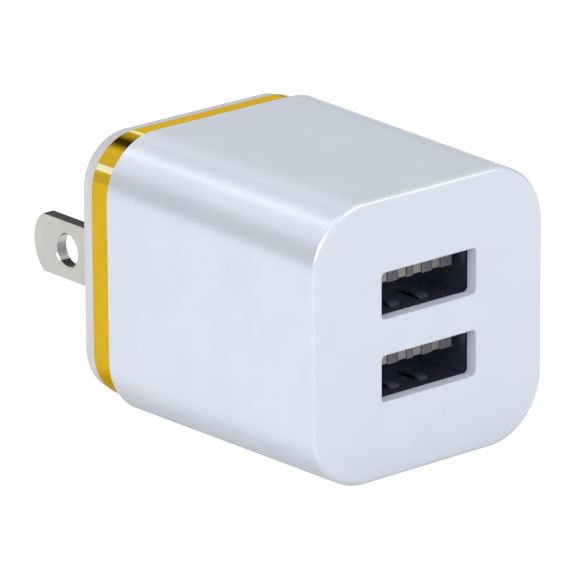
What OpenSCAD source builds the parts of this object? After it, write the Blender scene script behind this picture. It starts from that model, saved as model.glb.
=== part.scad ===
// Two-port USB wall charger with fixed flat blades.
// Origin: on the rear face that meets the wall, midway between the two blades.
// +X right seen from the front, +Y into the wall, +Z up. Millimetres.

/* [Body] */
// Width at the rear edge of the housing
body_w = 30.8; // [25:0.1:40]
// Height at the rear edge of the housing
body_h = 29.8; // [24.5:0.1:38]
// Depth from the front face to the rear face
body_d = 37; // [30.5:0.1:46]
// Corner radius of the body at the rear
corner_r = 6.4; // [5:0.1:7.5]
// Corner radius of the front face
front_corner_r = 6.8; // [6:0.1:7.2]
// How much each side leans in between the rear edge and the front face
draft = 0.25; // [0:0.05:0.5]
// Rounding around the front face
front_round = 0.55; // [0.3:0.05:0.8]
// Side walls of the housing
wall_t = 1.7; // [1.4:0.1:2.1]
// Front wall of the housing
front_t = 1.4; // [1.1:0.1:1.8]
// How far the middle of the body lies above the blades
body_rise = 2.6; // [1.5:0.1:3.5]

/* [Rear] */
// Length of the trim ring
ring_len = 3.3; // [2.7:0.1:4.2]
// How far the trim ring is set in from the housing
ring_inset = 0.7; // [0.4:0.05:0.9]
// Thickness of the rear cap's plate
flange_t = 2; // [1.6:0.1:2.5]
// How far the rear cap is set in from the housing
flange_inset = 0.9; // [0.7:0.05:1.2]
// Rounding of the rear cap's outer edge
flange_round = 0.9; // [0.5:0.05:1.2]
// Wall of the rear cap's spigot
spigot_t = 1.2; // [1:0.1:1.5]
// Length of spigot inside the housing
spigot_grip = 4; // [3:0.1:5]
// Gap all round between the spigot and what it fits
spigot_gap = 0.1; // [0.05:0.01:0.2]
// Height of the snap hooks above the spigot
hook_h = 0.4; // [0.2:0.05:0.6]

/* [Blades] */
// Distance between the middles of the blades
blade_pitch = 12.7; // [10.5:0.1:15.5]
// Width of a blade
blade_w = 6.35; // [5.2:0.05:7.7]
// Thickness of a blade
blade_t = 1.5; // [1.2:0.05:1.8]
// Length of a blade outside the body
blade_len = 17.75; // [15.9:0.05:18.3]
// Bulge of the rounded blade tip
blade_bulge = 2.1; // [0.6:0.1:2.6]
// Thickness left at the very tip
blade_tip_t = 0.7; // [0.4:0.05:1]
// Diameter of the blade's hole
blade_hole_d = 3.5; // [2.9:0.05:4]
// Distance of the hole from the wall face
blade_hole_y = 11.8; // [11:0.1:12.2]
// Height of the soldering tail
tail_h = 4; // [3:0.1:4.6]
// Length of the soldering tail past its boss
tail_len = 1.9; // [1.9:0.1:2.4]

/* [USB sockets] */
// Distance between the two sockets
port_pitch = 8.6; // [7.2:0.1:10.4]
// How far the middle of the pair lies above the middle of the body
port_rise = 0.15; // [0:0.05:0.5]
// Width of a socket shell inside
shell_w = 12.5; // [12.3:0.05:12.8]
// Height of a socket shell inside
shell_h = 5.12; // [5:0.01:5.3]
// Sheet thickness of a socket shell
shell_t = 0.3; // [0.2:0.05:0.4]
// Length of a socket shell
shell_len = 9.5; // [9.2:0.05:10.7]
// Gap between a socket shell and the front wall
shell_gap = 0.35; // [0.05:0.05:0.5]
// Width of the opening in the front wall
mouth_w = 12.45; // [12.1:0.05:12.8]
// Height of the opening in the front wall
mouth_h = 4.85; // [4.6:0.05:5.1]
// Corner radius of the opening
mouth_r = 0.5; // [0.2:0.05:0.8]
// Width of the tongue
tongue_w = 11.1; // [10.9:0.05:11.3]
// Thickness of the tongue
tongue_t = 1.84; // [1.7:0.01:1.9]
// Gap between the tongue and the shell above it
tongue_gap = 0.64; // [0.6:0.01:0.8]
// Distance of the tongue's end behind the front face
tongue_back = 3; // [2.4:0.1:3.6]
// Thickness of the insulator's base block
base_t = 2.4; // [2:0.1:3]
// Width of a contact
contact_w = 1; // [0.8:0.05:1.05]
// Sheet thickness of a contact
contact_t = 0.25; // [0.2:0.01:0.3]
// How far a contact stands out of the tongue
contact_proud = 0.4; // [0.3:0.02:0.44]

/* [Boards] */
// Thickness of both circuit boards
board_t = 1.2; // [1:0.1:1.6]
// Gap at each side of the main board
board_side_gap = 0.7; // [0.6:0.05:1]
// Free height under the main board
board_lift = 1.9; // [1.8:0.05:2.3]
// Gap between the main board and the rear cap's plate
board_rear_gap = 0.6; // [0.4:0.1:1]
// Length of wire below the main board
lead_stub = 1; // [0.7:0.1:1.2]

/* [Components] */
// Diameter of the input capacitors
input_cap_d = 6.3; // [5:0.1:6.3]
// Height of the input capacitors
input_cap_h = 11.5; // [9:0.5:12]
// Diameter of the output capacitors
output_cap_d = 5; // [4:0.1:5]
// Height of the output capacitors
output_cap_h = 9; // [7:0.5:11]
// Width of the transformer core
core_w = 8.8; // [8.3:0.1:8.8]
// Depth of the transformer core
core_d = 4.4; // [4:0.1:4.8]
// Height of the transformer core
core_h = 10.4; // [9:0.1:11]
// Depth of the transformer bobbin
bobbin_d = 7.4; // [6.8:0.1:7.4]
// Diameter of the safety capacitor's disc
disc_d = 5.5; // [4.5:0.1:5.5]
// Thickness of the safety capacitor's disc
disc_t = 2; // [1.6:0.1:2]
// Diameter of the fusible resistor
resistor_d = 2.4; // [2:0.1:2.4]
// Length of the fusible resistor's body
resistor_len = 6.5; // [5:0.1:7]

/* [Hidden] */
sides = ["left", "right"];
ports = ["upper", "lower"];
$fn = 64;
slice_t = 0.02;
// Air between pieces that must not touch
air = 0.05;
// Extra length of a cut that goes right through
past = 1;

// Places along Y
front_y = -body_d;
plate_y = -flange_t;
joint_y = plate_y - ring_len;
inside_y = front_y + front_t;
spigot_y = joint_y - spigot_grip;
shell_y = inside_y + shell_gap;
usb_board_y = shell_y + shell_len;
board_front = usb_board_y + board_t;
board_rear = plate_y - board_rear_gap;

// Inside of the housing and of the spigot
inner_w = body_w - 2 * wall_t;
inner_h = body_h - 2 * wall_t;
inner_r = corner_r - wall_t;
spigot_w = inner_w - 2 * spigot_gap;
spigot_h = inner_h - 2 * spigot_gap;
spigot_r = inner_r - spigot_gap;
floor_z = body_rise - inner_h / 2;
spigot_floor = body_rise - spigot_h / 2 + spigot_t;
rear_round = 0.2;

// Snap hooks
hook_w = 6;
hook_len = 1.2;
hook_x = spigot_w / 2 - spigot_r - hook_w / 2 - 1;
hook_y = spigot_y + 1.4;
hook_gap = 0.1;

// Blades
tip_r = (pow(blade_w / 2, 2) + pow(blade_bulge, 2)) / (2 * blade_bulge);
boss_t = 0.6;
boss_rim = 1;
tail_y = plate_y - boss_t - tail_len;
hole_chamfer = 0.15;

// Sockets
shell_r = 0.6;
tongue_y = front_y + tongue_back;
tongue_top = shell_h / 2 - tongue_gap;
tongue_low = tongue_top - tongue_t;
base_y = usb_board_y - base_t;
contact_x = [-3.5, -1, 1, 3.5];
contact_root = base_y + 0.5;
contact_rest = 0.3;
contact_side_gap = 0.1;
contact_flat = 3.6;
contact_slope = 1.2;
contact_return = 0.9;
contact_end_y = tongue_y + air;
contact_end_drop = 0.2;
end_notch = 0.5;
slot_depth = 1.05;
tail_w = 0.6;
tail_stub = 0.65;
tab_x = 1.9;
tab_w = 1.2;
tab_rise = 0.5;
tab_tip_y = front_y + 3;
tab_len = 3.6;
tab_gap = 0.25;
leg_w = 1.5;
leg_stub = 0.65;

// Boards
charge_chip_h = 0.85;
board_w = spigot_w - 2 * spigot_t - 2 * board_side_gap;
board_low = spigot_floor + board_lift;
board_top = board_low + board_t;
usb_board_w = inner_w - 3;
usb_board_top = port_z("upper") + shell_h / 2 + shell_t + 1;
joint_tab_x = 5;
joint_tab_w = 5;
joint_tab_len = 0.6;
slot_gap = 0.1;
rib_t = 1.5;
rib_z = 4.5;
rib_overlap = 1;
rail_t = 0.6;
rail_gap = 0.2;
grip_w = 1.6;
grip_len = 2.4;
grip_lip = 0.8;
grip_x = board_w / 2 - 2.7;
solder_r = 0.75;
solder_h = 0.5;
lead_d = 0.6;
lead_gap = 0.15;

// Places of the components on the main board
edge_gap = 0.2;
part_gap = 0.3;
input_x = -board_w / 2 + edge_gap + input_cap_d / 2;
front_gap = charge_chip_h + 0.1;
input_front_y = board_front + front_gap + input_cap_d / 2;
input_rear_y = tail_y - 0.1 - input_cap_d / 2;
output_y = board_front + front_gap + output_cap_d / 2;
output_right_x = board_w / 2 - edge_gap - output_cap_d / 2;
output_left_x = output_right_x - output_cap_d - part_gap;
core_x = board_w / 2 - edge_gap - core_w / 2;
core_y = (tail_y - part_gap + output_y + output_cap_d / 2) / 2;
middle_x = (input_x + input_cap_d / 2 + core_x - core_w / 2) / 2;
resistor_y = tail_y - 0.3 - resistor_d / 2;
resistor_pitch = 2.2;
resistor_lift = 0.8;
resistor_loop = 0.9;
disc_pitch = 4;
disc_y = resistor_y - resistor_pitch - 2 * solder_r - 0.2 - disc_pitch / 2;
disc_lift = 1;
blade_solder_r = blade_t / 2 + 0.2;
wire_d = 1.5;
wire_core_d = 0.7;
wire_y = tail_y + blade_solder_r;
strip_len = 0.9;
cap_lead_pitch = 2.5;
bung_h = 1.2;
sleeve_t = 0.15;
sleeve_lift = 0.2;
// The four cans: [x, y, diameter, height]
input_front = [input_x, input_front_y, input_cap_d, input_cap_h];
input_rear = [input_x, input_rear_y, input_cap_d, input_cap_h];
output_left = [output_left_x, output_y, output_cap_d, output_cap_h];
output_right = [output_right_x, output_y, output_cap_d, output_cap_h];
cans = [input_front, input_rear, output_left, output_right];

// The small parts under the board stand in one line with the controller,
// or between the output capacitors
column_x = (input_x + middle_x) / 2;
column_y = (board_front + board_rear) / 2;
column_chip = 2.9;
small_pitch = 1.3;
small_w = 1.6;

// Transformer
core_lift = 0.8;
core_back = 1.3;
core_leg = 1.2;
middle_leg = 2.4;
bobbin_gap = 0.1;
bobbin_t = 0.4;
flange_plate_t = 0.6;
pin_x = [-2.8, -0.95, 0.95, 2.8];
pin_row = bobbin_d / 2 - 0.7;
tape_t = 0.1;
core_z = board_top + core_lift;
window_h = core_h - 2 * core_back;
window_w = core_w - 2 * core_leg - 2 * bobbin_gap;
tube_w = middle_leg + 2 * bobbin_gap + 2 * bobbin_t;
tube_d = core_d + 2 * bobbin_gap + 2 * bobbin_t;

// The rounded rectangle that every cross-section of the body uses, and its four corners alone
module corners(w, h, r) {
    for (x = [-1, 1], y = [-1, 1])
        translate([x * (w / 2 - r), y * (h / 2 - r)]) circle(r);
}

module rounded_rect(w, h, r) {
    square([w - 2 * r, h], center = true);
    square([w, h - 2 * r], center = true);
    corners(w, h, r);
}

// A flat outline, seen from the front, drawn out from y0 to y1 around height z
module along_y(y0, y1, z = body_rise)
    translate([0, y1, z]) rotate([90, 0, 0]) linear_extrude(y1 - y0) children();

// An outline in (y, z), drawn out to width w around x
module along_x(x, w)
    translate([x - w / 2, 0, 0]) rotate([90, 0, 90]) linear_extrude(w) children();

// Thin slice of the body's four corners, for hull() to join: r is the corner radius before the inset
module body_slice(inset, y, r = corner_r) {
    along_y(y, y + slice_t)
        corners(body_w - 2 * inset, body_h - 2 * inset, r - inset);
}

function port_z(port) = body_rise + port_rise + (port == "upper" ? 0.5 : -0.5) * port_pitch;
function side_x(side) = (side == "left" ? -0.5 : 0.5) * blade_pitch;

// Outer shape of the housing: leaning sides, rounded front edge, eased rear edge
module housing_skin() {
    hull() {
        for (a = [0:18:90])
            body_slice(draft + front_round * (1 - sin(a)), front_y + front_round * (1 - cos(a)),
                front_corner_r + draft);
        body_slice(0, joint_y - rear_round - slice_t);
        body_slice(rear_round, joint_y - slice_t);
    }
}

module snap_hooks(extra) {
    for (x = [-1, 1], z = [-1, 1])
        translate([x * hook_x, hook_y + hook_len / 2, body_rise + z * spigot_h / 2])
            cube([hook_w + 2 * extra, hook_len + 2 * extra, 2 * (hook_h + extra)], center = true);
}

module housing() {
    rib_x = usb_board_w / 2 - rib_overlap;
    color("ghostwhite") difference() {
        housing_skin();
        difference() {
            along_y(inside_y, joint_y + past) rounded_rect(inner_w, inner_h, inner_r);
            // Stops that the socket board rests against
            for (m = [0, 1], z = [-rib_z, rib_z])
                mirror([m, 0, 0]) translate([rib_x, inside_y - past, body_rise + z - rib_t / 2])
                    cube([inner_w, usb_board_y - inside_y + past, rib_t]);
            // Rails that the main board rests on
            for (s = [-1, 1])
                translate([s * (board_w / 2 - rail_t) - rail_t / 2, board_front, floor_z - past])
                    cube([rail_t, spigot_y - rail_gap - board_front, board_low - floor_z + past]);
        }
        for (port = ports)
            along_y(front_y - past, inside_y + past, port_z(port)) rounded_rect(mouth_w, mouth_h, mouth_r);
        snap_hooks(hook_gap);
    }
}

module trim_ring() {
    color("goldenrod") along_y(joint_y, plate_y) difference() {
        rounded_rect(body_w - 2 * ring_inset, body_h - 2 * ring_inset, corner_r - ring_inset);
        rounded_rect(spigot_w, spigot_h, spigot_r);
    }
}

// The cap's plate: four turned corners with a rounded rear edge, joined by hull()
module cap_plate() {
    r = corner_r - flange_inset;
    profile = concat([[0, plate_y], [r, plate_y]],
        [for (a = [0:22.5:90]) [r - flange_round * (1 - cos(a)), -flange_round * (1 - sin(a))]],
        [[0, 0]]);
    hull() for (x = [-1, 1], z = [-1, 1])
        translate([x * (body_w / 2 - corner_r), 0, body_rise + z * (body_h / 2 - corner_r)])
            rotate([-90, 0, 0]) rotate_extrude() polygon(profile);
}

module rear_cap() {
    color("lavender") difference() {
        union() {
            cap_plate();
            along_y(spigot_y, plate_y) difference() {
                rounded_rect(spigot_w, spigot_h, spigot_r);
                rounded_rect(spigot_w - 2 * spigot_t, spigot_h - 2 * spigot_t, spigot_r - spigot_t);
            }
            snap_hooks(0);
            for (side = sides)
                translate([side_x(side), plate_y - boss_t / 2, 0])
                    cube([blade_t + 2 * boss_rim, boss_t, blade_w + 2 * boss_rim], center = true);
            // Forks that hold the rear edge of the main board
            for (s = [-1, 1])
                translate([s * grip_x - grip_w / 2, plate_y - grip_len, board_low - grip_lip])
                    cube([grip_w, grip_len, board_t + 2 * grip_lip]);
        }
        translate([-board_w / 2 - slot_gap, spigot_y - past, board_low])
            cube([board_w + 2 * slot_gap, plate_y - spigot_y + past, board_t]);
        for (side = sides) blade_outline(side);
    }
}

// Solid that a blade fills, before its hole and tip are cut
module blade_outline(side) {
    along_x(side_x(side), blade_t) {
        intersection() {
            translate([plate_y, -blade_w / 2]) square([blade_len - plate_y, blade_w]);
            union() {
                translate([plate_y, -blade_w / 2]) square([blade_len - blade_bulge - plate_y, blade_w]);
                translate([blade_len - tip_r, 0]) circle(tip_r);
            }
        }
        translate([tail_y, -tail_h / 2]) square([plate_y - tail_y, tail_h]);
    }
}

module blade(side) {
    taper = (blade_t - blade_tip_t) / 2;
    color("silver") difference() {
        blade_outline(side);
        translate([side_x(side), blade_hole_y, 0]) rotate([0, 90, 0]) {
            cylinder(h = blade_t + 1, d = blade_hole_d, center = true);
            for (m = [0, 1]) mirror([0, 0, m]) translate([0, 0, blade_t / 2 - hole_chamfer])
                cylinder(h = 2 * hole_chamfer, d1 = blade_hole_d, d2 = blade_hole_d + 4 * hole_chamfer);
        }
        // Coined slopes on both faces of the tip
        for (s = [-1, 1])
            translate([side_x(side), 0, -blade_w]) linear_extrude(2 * blade_w)
                polygon([[s * blade_t / 2, blade_len - blade_bulge],
                    [s * (blade_t / 2 - taper), blade_len],
                    [s * (blade_t / 2 - taper), blade_len + 1],
                    [s * blade_t, blade_len + 1],
                    [s * blade_t, blade_len - blade_bulge]]);
    }
}

// A spring tab is an arc of sheet that bulges into the shell
module spring_tab(z_side) {
    chord_r = (pow(tab_len / 2, 2) + pow(tab_rise, 2)) / (2 * tab_rise);
    wall_z = z_side * shell_h / 2;
    for (s = [-1, 1]) intersection() {
        translate([s * tab_x, tab_tip_y + tab_len / 2, wall_z + z_side * (chord_r - tab_rise)])
            rotate([0, 90, 0]) difference() {
                cylinder(h = tab_w, r = chord_r, center = true);
                cylinder(h = tab_w + 1, r = chord_r - shell_t, center = true);
            }
        translate([s * tab_x - tab_w, tab_tip_y, wall_z - 1]) cube([2 * tab_w, tab_len + 0.3, 2]);
    }
}

module shell(port) {
    out_w = shell_w + 2 * shell_t;
    out_h = shell_h + 2 * shell_t;
    color("slategray") translate([0, 0, port_z(port)]) {
        difference() {
            along_y(shell_y, usb_board_y, 0) difference() {
                rounded_rect(out_w, out_h, shell_r + shell_t);
                rounded_rect(shell_w, shell_h, shell_r);
            }
            for (s = [-1, 1])
                translate([s * tab_x - tab_w / 2 - tab_gap, tab_tip_y - tab_gap, -out_h])
                    cube([tab_w + 2 * tab_gap, tab_len + tab_gap, 2 * out_h]);
        }
        for (z = [-1, 1]) spring_tab(z);
        for (s = [-1, 1])
            translate([s * (out_w - shell_t) / 2 - shell_t / 2, usb_board_y, -leg_w / 2])
                cube([shell_t, board_t + leg_stub, leg_w]);
    }
}

module insulator(port) {
    slot_w = contact_w + 2 * contact_side_gap;
    color("dimgray") translate([0, 0, port_z(port)]) difference() {
        union() {
            along_y(base_y, usb_board_y, 0) rounded_rect(shell_w, shell_h, shell_r);
            translate([-tongue_w / 2, tongue_y, tongue_low]) cube([tongue_w, base_y - tongue_y, tongue_t]);
        }
        // The contacts' slots are open below, and notch the tongue's end from top to bottom
        for (x = contact_x) {
            translate([x - slot_w / 2, tongue_y - past, tongue_low - past])
                cube([slot_w, base_y - tongue_y + past, slot_depth + past]);
            translate([x - slot_w / 2, tongue_y - past, tongue_low - past])
                cube([slot_w, end_notch + past, tongue_t + 2 * past]);
            translate([x - slot_w / 2, base_y - past, tongue_low])
                cube([slot_w, contact_root + air - base_y + past, slot_depth]);
            translate([x - tail_w / 2, base_y, tongue_low + contact_rest - contact_t / 2])
                cube([tail_w, base_t + past, contact_t]);
        }
    }
}

// Bent strip: root, slope down to a crest below the tongue, and an end turned up at the tongue's face
module contacts(port) {
    crest = -contact_proud + contact_t / 2;
    flat_y = contact_root - contact_flat;
    crest_y = flat_y - contact_slope;
    end_z = contact_rest - air;
    line = [[contact_root, contact_rest], [flat_y, 0], [crest_y, crest],
        [crest_y - contact_return, 0], [contact_end_y + contact_t / 2, end_z]];
    color("gold") translate([0, 0, port_z(port) + tongue_low])
        for (x = contact_x) along_x(x, contact_w) {
            for (i = [0:len(line) - 2]) {
                a = line[i];
                b = line[i + 1];
                polygon([[a[0], a[1] - contact_t / 2], [a[0], a[1] + contact_t / 2],
                    [b[0], b[1] + contact_t / 2], [b[0], b[1] - contact_t / 2]]);
            }
            translate([contact_end_y, end_z - contact_t / 2])
                square([contact_t, tongue_t - contact_end_drop - end_z + contact_t / 2]);
        }
}

module tails(port) {
    color("gold") translate([0, 0, port_z(port) + tongue_low + contact_rest - contact_t / 2])
        for (x = contact_x) translate([x - tail_w / 2, contact_root + air, 0])
            cube([tail_w, board_front + tail_stub - contact_root - air, contact_t]);
}

module usb_board() {
    color("darkgreen") difference() {
        translate([-usb_board_w / 2, usb_board_y, board_low])
            cube([usb_board_w, board_t, usb_board_top - board_low]);
        for (port = ports) {
            for (x = contact_x)
                translate([x - tail_w / 2 - slot_gap, usb_board_y - 1,
                        port_z(port) + tongue_low + contact_rest - contact_t / 2 - slot_gap])
                    cube([tail_w + 2 * slot_gap, board_t + 2, contact_t + 2 * slot_gap]);
            for (s = [-1, 1])
                translate([s * (shell_w + shell_t) / 2 - shell_t / 2 - slot_gap, usb_board_y - 1,
                        port_z(port) - leg_w / 2 - slot_gap])
                    cube([shell_t + 2 * slot_gap, board_t + 2, leg_w + 2 * slot_gap]);
        }
        for (s = [-1, 1])
            translate([s * joint_tab_x - joint_tab_w / 2 - slot_gap, usb_board_y - 1, board_low - 1])
                cube([joint_tab_w + 2 * slot_gap, board_t + 2, board_t + 1]);
    }
}

module usb_board_solder() {
    y = board_front;
    color("lightgray") difference() {
        for (port = ports, x = contact_x)
            translate([x, y, port_z(port) + tongue_low + contact_rest]) rotate([-90, 0, 0])
                cylinder(h = solder_h, r1 = solder_r, r2 = solder_r * 0.6, $fn = 32);
        for (port = ports) tails(port);
    }
    color("lightgray") difference() {
        for (port = ports, s = [-1, 1])
            translate([s * (shell_w + shell_t) / 2, y, port_z(port)]) rotate([-90, 0, 0])
                cylinder(h = solder_h, r1 = leg_w * 0.8, r2 = leg_w * 0.65, $fn = 32);
        for (port = ports, s = [-1, 1])
            translate([s * (shell_w + shell_t) / 2 - shell_t / 2, y - 1, port_z(port) - leg_w / 2])
                cube([shell_t, solder_h + 2, leg_w]);
    }
}

// A flat chip with two rows of legs. It stands on z = 0.
module chip(w, d, h, legs, pitch) {
    leg_h = h * 0.5;
    translate([-w / 2, -d / 2, 0.1]) cube([w, d, h - 0.1]);
    for (s = [-1, 1], i = [0:legs - 1])
        translate([(i - (legs - 1) / 2) * pitch - 0.2, s > 0 ? d / 2 - 0.1 : -d / 2 - 0.5, 0])
            cube([0.4, 0.6, leg_h]);
}

module charge_control_chip() {
    color("black") translate([0, board_front, body_rise + port_rise]) rotate([-90, 0, 0])
        chip(2.9, 1.3, charge_chip_h, 3, 0.95);
}

// Wires that pass through the main board: [x, y, diameter]
cap_leads = [for (c = cans, s = [-0.5, 0.5]) [c[0], c[1] + s * cap_lead_pitch, lead_d]];
disc_leads = [for (s = [-0.5, 0.5]) [middle_x, disc_y + s * disc_pitch, lead_d]];
resistor_leads = [for (s = [0, 1]) [middle_x, resistor_y - s * resistor_pitch, lead_d]];
pin_leads = [for (x = pin_x, s = [-1, 1]) [core_x + x, core_y + s * pin_row, lead_d]];
wire_leads = [for (side = sides) [side_x(side), wire_y, wire_core_d]];
board_leads = concat(cap_leads, disc_leads, resistor_leads, pin_leads, wire_leads);

module main_board() {
    color("darkgreen") difference() {
        union() {
            translate([-board_w / 2, board_front, board_low])
                cube([board_w, board_rear - board_front, board_t]);
            for (s = [-1, 1])
                translate([s * joint_tab_x - joint_tab_w / 2, usb_board_y - joint_tab_len, board_low])
                    cube([joint_tab_w, board_t + joint_tab_len + 1, board_t]);
        }
        for (p = board_leads)
            translate([p[0], p[1], board_low - 1])
                cylinder(h = board_t + 2, d = p[2] + 2 * lead_gap, $fn = 32);
    }
}

module main_board_solder() {
    color("lightgray") for (p = board_leads) translate([p[0], p[1], board_low]) mirror([0, 0, 1])
        difference() {
            cylinder(h = solder_h, r1 = solder_r, r2 = solder_r * 0.6, $fn = 32);
            translate([0, 0, -1]) cylinder(h = solder_h + 2, d = p[2], $fn = 32);
        }
}

// Fillets of solder that tie the two boards in front of the socket board
module board_joint_solder() {
    w = joint_tab_w / 2 - 0.6;
    color("lightgray") for (s = [-1, 1], t = [-1, 1])
        along_x(s * joint_tab_x + t * joint_tab_w / 4, w)
            polygon([[usb_board_y, board_top], [usb_board_y - joint_tab_len, board_top],
                [usb_board_y, board_top + joint_tab_len]]);
}

module wire_jacket(side) {
    h = -tail_h / 2 - board_top - 2 * strip_len;
    color("firebrick") translate([side_x(side), wire_y, board_top + strip_len]) difference() {
        cylinder(h = h, d = wire_d);
        translate([0, 0, -past]) cylinder(h = h + 2 * past, d = wire_core_d);
    }
}

module wire_cores() {
    color("chocolate") for (side = sides) translate([side_x(side), wire_y, board_low - lead_stub])
        cylinder(h = -tail_h / 2 - board_low + lead_stub, d = wire_core_d);
}

module blade_solder() {
    color("lightgray") for (side = sides) difference() {
        translate([side_x(side), wire_y, -tail_h / 2])
            cylinder(h = 1.2, r = blade_solder_r, center = true);
        translate([side_x(side) - blade_t / 2, tail_y - 1, -tail_h / 2]) cube([blade_t, 5, 3]);
        translate([side_x(side), wire_y, -tail_h / 2 - 2]) cylinder(h = 4, d = wire_core_d);
    }
}

// Upright resistor: one wire leaves below, the other loops over the top and down
module fusible_resistor() {
    low = board_top + resistor_lift;
    bend = low + resistor_len + resistor_loop - resistor_pitch / 2 + lead_d;
    color("lightgreen") translate([middle_x, resistor_y, 0]) rotate([0, 0, -90]) {
        translate([0, 0, low]) cylinder(h = resistor_len, d = resistor_d);
        translate([0, 0, board_low - lead_stub]) cylinder(h = low - board_low + lead_stub, d = lead_d);
        translate([0, 0, low + resistor_len]) cylinder(h = bend - low - resistor_len, d = lead_d);
        translate([resistor_pitch / 2, 0, bend]) rotate([90, 0, 0])
            rotate_extrude(angle = 180) translate([resistor_pitch / 2, 0]) circle(d = lead_d);
        translate([resistor_pitch, 0, board_low - lead_stub])
            cylinder(h = bend - board_low + lead_stub, d = lead_d);
    }
}

module under_board(x, y)
    translate([x, y, board_low]) mirror([0, 0, 1]) children();

// The bridge and the diode lie between the two rows of bobbin pins
module bridge_rectifier() {
    color("black") under_board(core_x - 1.9, core_y) chip(4, 3.2, 1.4, 2, 2.5);
}

module output_diode() {
    color("black") under_board(core_x + 2, core_y) rotate([0, 0, 90]) chip(2.8, 2.2, 1.4, 1, 1);
}

module controller_chip() {
    color("black") under_board(column_x, column_y) rotate([0, 0, 90])
        chip(column_chip, 1.6, 1.1, 3, 0.95);
}

// Small parts under the board: [x, y] of each
resistor_spots = [for (s = [-1, 1], i = [0:2])
    [column_x, column_y + s * (column_chip / 2 + 0.9 + i * small_pitch)]];
capacitor_spots = [for (i = [-1:1]) [(output_left_x + output_right_x) / 2, output_y + i * small_pitch]];

module small_parts(spots)
    for (p = spots) under_board(p[0], p[1]) translate([-small_w / 2, -0.4, 0]) cube([small_w, 0.8, 0.5]);

module chip_resistors() color("black") small_parts(resistor_spots);
module chip_capacitors() color("tan") small_parts(capacitor_spots);

// Capacitor can: rolled groove above the bung, scored vent on the top
module cap_can(c) {
    r = c[2] / 2 - sleeve_t;
    h = c[3];
    color("silver") translate([c[0], c[1], board_top]) difference() {
        rotate_extrude() polygon([[0, bung_h], [r - 0.2, bung_h], [r, bung_h + 0.2], [r, h - 0.3],
            [r - 0.3, h], [0, h]]);
        for (a = [0, 90]) rotate([0, 0, a]) translate([-r * 0.6, -0.1, h - 0.15]) cube([r * 1.2, 0.2, 1]);
    }
}

module cap_sleeve(c) {
    r = c[2] / 2;
    h = c[3];
    color("navy") translate([c[0], c[1], board_top + sleeve_lift]) difference() {
        rotate_extrude() polygon([[0, 0], [r, 0], [r, h - 0.5], [r - 0.3, h - 0.25], [0, h - 0.25]]);
        translate([0, 0, -1]) cylinder(h = h + 2, r = r - sleeve_t);
    }
}

module capacitor_bungs() {
    color("black") for (c = cans) translate([c[0], c[1], board_top]) difference() {
        cylinder(h = bung_h, r = c[2] / 2 - sleeve_t);
        for (s = [-0.5, 0.5]) translate([0, s * cap_lead_pitch, -past])
            cylinder(h = bung_h + 2 * past, d = lead_d);
    }
}

module capacitor_leads() {
    color("silver") for (p = cap_leads) translate([p[0], p[1], board_low - lead_stub])
        cylinder(h = board_top + bung_h - board_low + lead_stub, d = lead_d);
}

module safety_capacitor() {
    rim = 0.5;
    r = disc_d / 2;
    color("royalblue") translate([middle_x, disc_y, board_top + disc_lift + r]) rotate([0, 90, 0])
        difference() {
            rotate_extrude() {
                translate([0, -disc_t / 2]) square([r - rim, disc_t]);
                translate([0, rim - disc_t / 2]) square([r, disc_t - 2 * rim]);
                for (s = [-1, 1]) translate([r - rim, s * (disc_t / 2 - rim)]) circle(rim);
            }
            for (s = [-0.5, 0.5]) translate([0, s * disc_pitch, 0]) rotate([0, 90, 0])
                cylinder(h = r + 1, d = lead_d);
        }
}

module safety_capacitor_leads() {
    color("silver") for (p = disc_leads) translate([p[0], p[1], board_low - lead_stub])
        cylinder(h = board_top + disc_lift + disc_d / 2 - board_low + lead_stub, d = lead_d);
}

// Half of the E core: back plate with three legs that meet the other half
module core_half(s) {
    z_mid = core_z + core_h / 2;
    color("dimgray") translate([core_x, core_y, z_mid]) scale([1, 1, s]) {
        translate([-core_w / 2, -core_d / 2, window_h / 2]) cube([core_w, core_d, core_back]);
        translate([-middle_leg / 2, -core_d / 2, 0]) cube([middle_leg, core_d, window_h / 2 + 0.5]);
        for (m = [-1, 1])
            translate([m * (core_w - core_leg) / 2 - core_leg / 2, -core_d / 2, 0])
                cube([core_leg, core_d, window_h / 2 + 0.5]);
    }
}

module bobbin() {
    z0 = core_z + core_back;
    color("black") translate([core_x, core_y, 0]) difference() {
        union() {
            translate([-tube_w / 2, -tube_d / 2, z0]) cube([tube_w, tube_d, window_h]);
            for (z = [z0, z0 + window_h - flange_plate_t])
                translate([-window_w / 2, -bobbin_d / 2, z]) cube([window_w, bobbin_d, flange_plate_t]);
            for (s = [-1, 1])
                translate([-core_w / 2, s * (bobbin_d / 2 - 0.65) - 0.65, board_top])
                    cube([core_w, 1.3, z0 + flange_plate_t - board_top]);
        }
        translate([-middle_leg / 2 - bobbin_gap, -core_d / 2 - bobbin_gap, z0 - 1])
            cube([middle_leg + 2 * bobbin_gap, core_d + 2 * bobbin_gap, window_h + 2]);
        for (x = pin_x, s = [-1, 1]) translate([x, s * pin_row, board_top - 1]) cylinder(h = 2.5, d = lead_d);
    }
}

module winding() {
    h = window_h - 2 * flange_plate_t;
    color("gold") translate([core_x, core_y, core_z + core_back + flange_plate_t]) linear_extrude(h)
        difference() {
            rounded_rect(window_w - 0.4, bobbin_d - 0.6, 0.8);
            square([tube_w, tube_d], center = true);
        }
}

// Band of tape round the outside of the core
module core_tape() {
    band = core_d - 1;
    color("yellow") translate([core_x, core_y - band / 2, core_z + core_h / 2]) rotate([-90, 0, 0])
        linear_extrude(band) difference() {
            square([core_w + 2 * tape_t, core_h + 2 * tape_t], center = true);
            square([core_w, core_h], center = true);
        }
}

module bobbin_pins() {
    color("silver") for (p = pin_leads) translate([p[0], p[1], board_low - lead_stub])
        cylinder(h = board_top + 1.5 - board_low + lead_stub, d = lead_d);
}

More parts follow.
